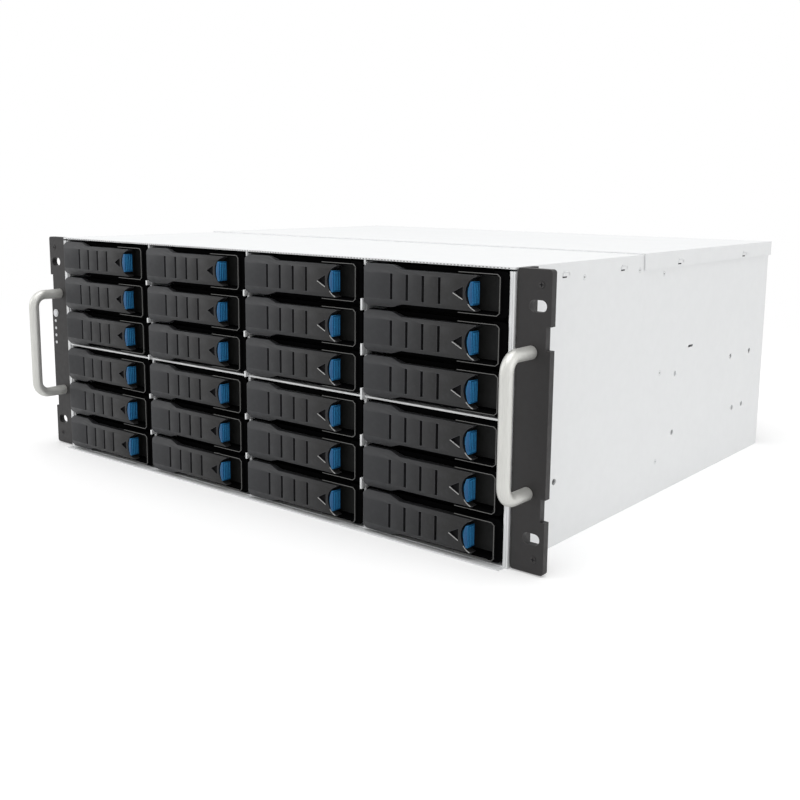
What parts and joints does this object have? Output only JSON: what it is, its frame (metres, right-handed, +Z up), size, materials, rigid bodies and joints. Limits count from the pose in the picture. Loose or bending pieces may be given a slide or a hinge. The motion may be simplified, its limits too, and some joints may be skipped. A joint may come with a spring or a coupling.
{
  "type": "rack disk shelf",
  "caption": "Rack-mount disk shelf: sheet-metal chassis with hot-swap drive trays behind lever fronts, rack ears with bent handles, and rear power and fan modules.",
  "frame": {"origin": "middle of the chassis underside, in the plane of the front faces of the rack ears", "axes": "+X to the right seen from the front, +Y into the chassis towards the rear, +Z up"},
  "size_m": [0.4826, 0.4393, 0.176],
  "materials": {
    "zinc_steel": "satin zinc-plated sheet",
    "ear_black": "satin black powder coat",
    "tray_plastic": "matte black, fine grain",
    "lever_plastic": "satin dark grey, fine grain",
    "release_blue": "satin blue",
    "handle_satin": "satin anodised",
    "screw_steel": "dark plated",
    "button_chrome": "satin",
    "fan_plastic": "satin black",
    "circuit_board": "semi-gloss solder mask",
    "module_metal": "satin sheet metal"
  },
  "bodies": {
    "chassis": {"chassis_tub": "zinc_steel", "front_top_cover": "zinc_steel", "rear_panel": "zinc_steel", "mid_shelf": "zinc_steel", "column_divider_left": "zinc_steel", "column_divider_center": "zinc_steel", "column_divider_right": "zinc_steel", "tray_side_rails": "zinc_steel", "backplane_boards": "circuit_board", "rear_deck": "zinc_steel", "fan_bracket": "zinc_steel", "fan_housings": "fan_plastic", "ear_left": "ear_black", "ear_right": "ear_black", "front_handles": "handle_satin", "ear_screws": "screw_steel", "control_panel": "tray_plastic"},
    "rear_cover": {"rear_top_cover": "zinc_steel"},
    "fan_rotor_left": {"fan_rotor_left": "fan_plastic"},
    "fan_rotor_center": {"fan_rotor_center": "fan_plastic"},
    "fan_rotor_right": {"fan_rotor_right": "fan_plastic"},
    "power_supply_1": {"power_supply_1": "module_metal"},
    "psu_catch_1": {"psu_catch_1": "release_blue"},
    "power_supply_2": {"power_supply_2": "module_metal"},
    "psu_catch_2": {"psu_catch_2": "release_blue"},
    "expander_canister": {"expander_canister": "module_metal"},
    "canister_lever": {"canister_lever": "tray_plastic"},
    "power_button": {"power_button": "button_chrome"},
    "drive_tray_r1c1": {"drive_tray_r1c1": "tray_plastic"},
    "drive_tray_r1c2": {"drive_tray_r1c2": "tray_plastic"},
    "drive_tray_r1c3": {"drive_tray_r1c3": "tray_plastic"},
    "drive_tray_r1c4": {"drive_tray_r1c4": "tray_plastic"},
    "drive_tray_r2c1": {"drive_tray_r2c1": "tray_plastic"},
    "drive_tray_r2c2": {"drive_tray_r2c2": "tray_plastic"},
    "drive_tray_r2c3": {"drive_tray_r2c3": "tray_plastic"},
    "drive_tray_r2c4": {"drive_tray_r2c4": "tray_plastic"},
    "drive_tray_r3c1": {"drive_tray_r3c1": "tray_plastic"},
    "drive_tray_r3c2": {"drive_tray_r3c2": "tray_plastic"},
    "drive_tray_r3c3": {"drive_tray_r3c3": "tray_plastic"},
    "drive_tray_r3c4": {"drive_tray_r3c4": "tray_plastic"},
    "drive_tray_r4c1": {"drive_tray_r4c1": "tray_plastic"},
    "drive_tray_r4c2": {"drive_tray_r4c2": "tray_plastic"},
    "drive_tray_r4c3": {"drive_tray_r4c3": "tray_plastic"},
    "drive_tray_r4c4": {"drive_tray_r4c4": "tray_plastic"},
    "drive_tray_r5c1": {"drive_tray_r5c1": "tray_plastic"},
    "drive_tray_r5c2": {"drive_tray_r5c2": "tray_plastic"},
    "drive_tray_r5c3": {"drive_tray_r5c3": "tray_plastic"},
    "drive_tray_r5c4": {"drive_tray_r5c4": "tray_plastic"},
    "drive_tray_r6c1": {"drive_tray_r6c1": "tray_plastic"},
    "drive_tray_r6c2": {"drive_tray_r6c2": "tray_plastic"},
    "drive_tray_r6c3": {"drive_tray_r6c3": "tray_plastic"},
    "drive_tray_r6c4": {"drive_tray_r6c4": "tray_plastic"},
    "tray_lever_r1c1": {"tray_lever_r1c1": "lever_plastic"},
    "release_button_r1c1": {"release_button_r1c1": "release_blue"},
    "tray_lever_r1c2": {"tray_lever_r1c2": "lever_plastic"},
    "release_button_r1c2": {"release_button_r1c2": "release_blue"},
    "tray_lever_r1c3": {"tray_lever_r1c3": "lever_plastic"},
    "release_button_r1c3": {"release_button_r1c3": "release_blue"},
    "tray_lever_r1c4": {"tray_lever_r1c4": "lever_plastic"},
    "release_button_r1c4": {"release_button_r1c4": "release_blue"}
  },
  "joints": [
    {"name": "rear_cover_slide", "type": "slide", "parent": "chassis", "child": "rear_cover", "axis": [0, 1, 0], "range_m": [0, 0.012]},
    {"name": "fan_left_spin", "type": "hinge", "parent": "chassis", "child": "fan_rotor_left", "pos_m": [-0.141, 0.2164, 0.1072], "axis": [0, 1, 0], "continuous": true},
    {"name": "fan_center_spin", "type": "hinge", "parent": "chassis", "child": "fan_rotor_center", "pos_m": [0, 0.2164, 0.1072], "axis": [0, 1, 0], "continuous": true},
    {"name": "fan_right_spin", "type": "hinge", "parent": "chassis", "child": "fan_rotor_right", "pos_m": [0.141, 0.2164, 0.1072], "axis": [0, 1, 0], "continuous": true},
    {"name": "power_supply_1_slide", "type": "slide", "parent": "chassis", "child": "power_supply_1", "axis": [0, 1, 0], "range_m": [0, 0.15]},
    {"name": "psu_catch_1_pivot", "type": "hinge", "parent": "power_supply_1", "child": "psu_catch_1", "pos_m": [0.1357, 0.38, 0.0225], "axis": [0, 0, -1], "range_deg": [0, 12], "stiffness_Nm_per_rad": 0.3, "springref_deg": -5.73},
    {"name": "power_supply_2_slide", "type": "slide", "parent": "chassis", "child": "power_supply_2", "axis": [0, 1, 0], "range_m": [0, 0.15]},
    {"name": "psu_catch_2_pivot", "type": "hinge", "parent": "power_supply_2", "child": "psu_catch_2", "pos_m": [0.0479, 0.38, 0.0225], "axis": [0, 0, -1], "range_deg": [0, 12], "stiffness_Nm_per_rad": 0.3, "springref_deg": -5.73},
    {"name": "canister_slide", "type": "slide", "parent": "chassis", "child": "expander_canister", "axis": [0, 1, 0], "range_m": [0, 0.15]},
    {"name": "canister_lever_pivot", "type": "hinge", "parent": "expander_canister", "child": "canister_lever", "pos_m": [0.0321, 0.3982, 0.0225], "axis": [0, 0, -1], "range_deg": [0, 80]},
    {"name": "power_button_press", "type": "slide", "parent": "chassis", "child": "power_button", "axis": [0, 1, 0], "range_m": [0, 0.0006], "stiffness_N_per_m": 400, "springref_m": -0.001},
    {"name": "tray_r1c1_slide", "type": "slide", "parent": "chassis", "child": "drive_tray_r1c1", "axis": [0, -1, 0], "range_m": [0, 0.16]},
    {"name": "tray_r1c2_slide", "type": "slide", "parent": "chassis", "child": "drive_tray_r1c2", "axis": [0, -1, 0], "range_m": [0, 0.16]},
    {"name": "tray_r1c3_slide", "type": "slide", "parent": "chassis", "child": "drive_tray_r1c3", "axis": [0, -1, 0], "range_m": [0, 0.16]},
    {"name": "tray_r1c4_slide", "type": "slide", "parent": "chassis", "child": "drive_tray_r1c4", "axis": [0, -1, 0], "range_m": [0, 0.16]},
    {"name": "tray_r2c1_slide", "type": "slide", "parent": "chassis", "child": "drive_tray_r2c1", "axis": [0, -1, 0], "range_m": [0, 0.16]},
    {"name": "tray_r2c2_slide", "type": "slide", "parent": "chassis", "child": "drive_tray_r2c2", "axis": [0, -1, 0], "range_m": [0, 0.16]},
    {"name": "tray_r2c3_slide", "type": "slide", "parent": "chassis", "child": "drive_tray_r2c3", "axis": [0, -1, 0], "range_m": [0, 0.16]},
    {"name": "tray_r2c4_slide", "type": "slide", "parent": "chassis", "child": "drive_tray_r2c4", "axis": [0, -1, 0], "range_m": [0, 0.16]},
    {"name": "tray_r3c1_slide", "type": "slide", "parent": "chassis", "child": "drive_tray_r3c1", "axis": [0, -1, 0], "range_m": [0, 0.16]},
    {"name": "tray_r3c2_slide", "type": "slide", "parent": "chassis", "child": "drive_tray_r3c2", "axis": [0, -1, 0], "range_m": [0, 0.16]},
    {"name": "tray_r3c3_slide", "type": "slide", "parent": "chassis", "child": "drive_tray_r3c3", "axis": [0, -1, 0], "range_m": [0, 0.16]},
    {"name": "tray_r3c4_slide", "type": "slide", "parent": "chassis", "child": "drive_tray_r3c4", "axis": [0, -1, 0], "range_m": [0, 0.16]},
    {"name": "tray_r4c1_slide", "type": "slide", "parent": "chassis", "child": "drive_tray_r4c1", "axis": [0, -1, 0], "range_m": [0, 0.16]},
    {"name": "tray_r4c2_slide", "type": "slide", "parent": "chassis", "child": "drive_tray_r4c2", "axis": [0, -1, 0], "range_m": [0, 0.16]},
    {"name": "tray_r4c3_slide", "type": "slide", "parent": "chassis", "child": "drive_tray_r4c3", "axis": [0, -1, 0], "range_m": [0, 0.16]},
    {"name": "tray_r4c4_slide", "type": "slide", "parent": "chassis", "child": "drive_tray_r4c4", "axis": [0, -1, 0], "range_m": [0, 0.16]},
    {"name": "tray_r5c1_slide", "type": "slide", "parent": "chassis", "child": "drive_tray_r5c1", "axis": [0, -1, 0], "range_m": [0, 0.16]},
    {"name": "tray_r5c2_slide", "type": "slide", "parent": "chassis", "child": "drive_tray_r5c2", "axis": [0, -1, 0], "range_m": [0, 0.16]},
    {"name": "tray_r5c3_slide", "type": "slide", "parent": "chassis", "child": "drive_tray_r5c3", "axis": [0, -1, 0], "range_m": [0, 0.16]},
    {"name": "tray_r5c4_slide", "type": "slide", "parent": "chassis", "child": "drive_tray_r5c4", "axis": [0, -1, 0], "range_m": [0, 0.16]},
    {"name": "tray_r6c1_slide", "type": "slide", "parent": "chassis", "child": "drive_tray_r6c1", "axis": [0, -1, 0], "range_m": [0, 0.16]},
    {"name": "tray_r6c2_slide", "type": "slide", "parent": "chassis", "child": "drive_tray_r6c2", "axis": [0, -1, 0], "range_m": [0, 0.16]},
    {"name": "tray_r6c3_slide", "type": "slide", "parent": "chassis", "child": "drive_tray_r6c3", "axis": [0, -1, 0], "range_m": [0, 0.16]},
    {"name": "tray_r6c4_slide", "type": "slide", "parent": "chassis", "child": "drive_tray_r6c4", "axis": [0, -1, 0], "range_m": [0, 0.16]},
    {"name": "lever_r1c1_hinge", "type": "hinge", "parent": "drive_tray_r1c1", "child": "tray_lever_r1c1", "pos_m": [-0.2095, -0.0035, 0.15935], "axis": [0, 0, -1], "range_deg": [0, 60]},
    {"name": "button_r1c1_press", "type": "slide", "parent": "tray_lever_r1c1", "child": "release_button_r1c1", "axis": [-1, 0, 0], "range_m": [0, 0.0015], "stiffness_N_per_m": 300, "springref_m": -0.001},
    {"name": "lever_r1c2_hinge", "type": "hinge", "parent": "drive_tray_r1c2", "child": "tray_lever_r1c2", "pos_m": [-0.10205, -0.0035, 0.15935], "axis": [0, 0, -1], "range_deg": [0, 60]},
    {"name": "button_r1c2_press", "type": "slide", "parent": "tray_lever_r1c2", "child": "release_button_r1c2", "axis": [-1, 0, 0], "range_m": [0, 0.0015], "stiffness_N_per_m": 300, "springref_m": -0.001},
    {"name": "lever_r1c3_hinge", "type": "hinge", "parent": "drive_tray_r1c3", "child": "tray_lever_r1c3", "pos_m": [0.0054, -0.0035, 0.15935], "axis": [0, 0, -1], "range_deg": [0, 60]},
    {"name": "button_r1c3_press", "type": "slide", "parent": "tray_lever_r1c3", "child": "release_button_r1c3", "axis": [-1, 0, 0], "range_m": [0, 0.0015], "stiffness_N_per_m": 300, "springref_m": -0.001},
    {"name": "lever_r1c4_hinge", "type": "hinge", "parent": "drive_tray_r1c4", "child": "tray_lever_r1c4", "pos_m": [0.11285, -0.0035, 0.15935], "axis": [0, 0, -1], "range_deg": [0, 60]},
    {"name": "button_r1c4_press", "type": "slide", "parent": "tray_lever_r1c4", "child": "release_button_r1c4", "axis": [-1, 0, 0], "range_m": [0, 0.0015], "stiffness_N_per_m": 300, "springref_m": -0.001}
  ]
}
